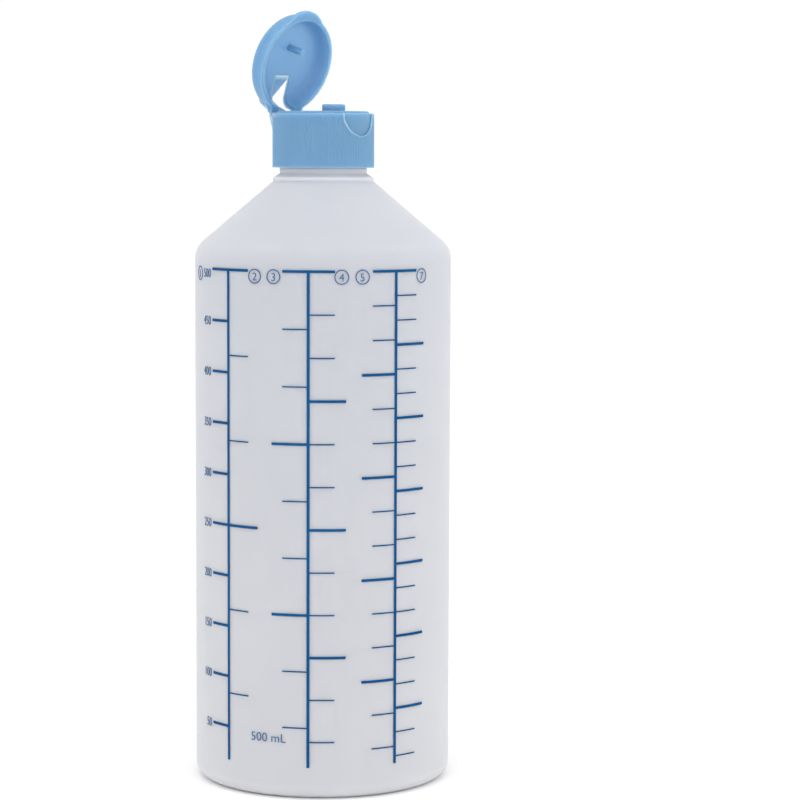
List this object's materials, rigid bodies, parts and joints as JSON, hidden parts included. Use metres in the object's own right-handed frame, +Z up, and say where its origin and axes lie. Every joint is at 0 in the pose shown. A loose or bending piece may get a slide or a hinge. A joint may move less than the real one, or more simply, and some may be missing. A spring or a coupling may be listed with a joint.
{
  "type": "graduated squeeze bottle",
  "caption": "Graduated plastic squeeze bottle with a screw cap, pouring spout and hinged flip-top lid, for measuring and giving liquid feed or medicine.",
  "frame": {"origin": "centre of the standing ring at the bottle's base", "axes": "+Z up along the bottle's axis, -Y towards the thumb notch of the cap, X along the lid's hinge line"},
  "size_m": [0.0701, 0.0701, 0.2104],
  "materials": {
    "bottle": "milky translucent polyethylene",
    "cap": "satin moulded polypropylene",
    "gasket": "soft closed-cell foam",
    "ink": "screen-printed ink"
  },
  "bodies": {
    "bottle": {"bottle": "bottle", "scale_left": "ink", "scale_middle": "ink", "scale_right": "ink"},
    "seal": {"gasket": "gasket"},
    "cap": {"cap_base": "cap", "film_hinges": "cap", "hinge_strap": "cap"},
    "lid": {"flip_lid": "cap"}
  },
  "joints": [
    {"name": "cap_lift", "type": "slide", "parent": "bottle", "child": "seal", "axis": [0, 0, 1], "range_m": [0, 0.0162]},
    {"name": "cap_unscrew", "type": "hinge", "parent": "seal", "child": "cap", "pos_m": [0, 0, 0.1824], "axis": [0, 0, 1], "range_deg": [0, 1800]},
    {"name": "lid_hinge", "type": "hinge", "parent": "cap", "child": "lid", "pos_m": [0, 0.0138, 0.1824], "axis": [-1, 0, 0], "range_deg": [-72.5, 47.5], "deforming": ["hinge_strap"]}
  ],
  "couplings": [
    {"joint": "cap_lift", "follows": "cap_unscrew", "m_per_rad": 0.00050532}
  ]
}
